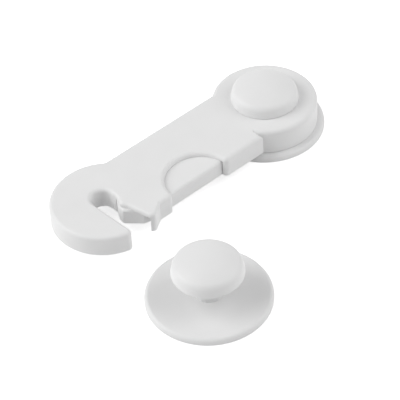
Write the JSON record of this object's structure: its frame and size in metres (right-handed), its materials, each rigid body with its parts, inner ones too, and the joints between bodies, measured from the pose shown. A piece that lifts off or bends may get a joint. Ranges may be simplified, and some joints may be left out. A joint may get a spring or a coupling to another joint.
{
  "type": "child safety cabinet lock",
  "caption": "White child safety cabinet lock: a swivel arm with an open hook and a thumb latch turns on an adhesive base and catches the knobbed stem of a separate adhesive base.",
  "frame": {"origin": "on the pivot axis, where the pivot's adhesive pad meets the door", "axes": "+Z away from the door along the pivot axis, +X from the hook towards the pivot, the mouth of the hook opens towards -Y"},
  "size_m": [0.0947, 0.0755, 0.0154],
  "materials": {
    "arm_plastic": "satin white moulding",
    "latch_plastic": "satin white moulding",
    "base_plastic": "satin white moulding",
    "knob_plastic": "satin white moulding",
    "adhesive_foam": "closed-cell foam tape",
    "screw_steel": "zinc-plated steel",
    "spring_steel": "spring steel strip"
  },
  "bodies": {
    "bases": {"pivot_base": "base_plastic", "pivot_knob": "knob_plastic", "pivot_adhesive_pad": "adhesive_foam", "catch_base": "base_plastic", "catch_knob": "knob_plastic", "catch_adhesive_pad": "adhesive_foam"},
    "arm": {"swivel_arm": "arm_plastic", "latch_screw": "screw_steel", "latch_spring": "spring_steel"},
    "latch": {"release_latch": "latch_plastic"}
  },
  "joints": [
    {"name": "arm_swing", "type": "hinge", "parent": "bases", "child": "arm", "pos_m": [0, 0, 0], "axis": [0, 0, 1], "range_deg": [-300, 18]},
    {"name": "latch_press", "type": "hinge", "parent": "arm", "child": "latch", "pos_m": [-0.05205, 0.0062, 0.006], "axis": [0, 0, 1], "range_deg": [0, 6], "stiffness_Nm_per_rad": 0.35, "springref_deg": -5.73, "deforming": ["latch_spring"]}
  ]
}
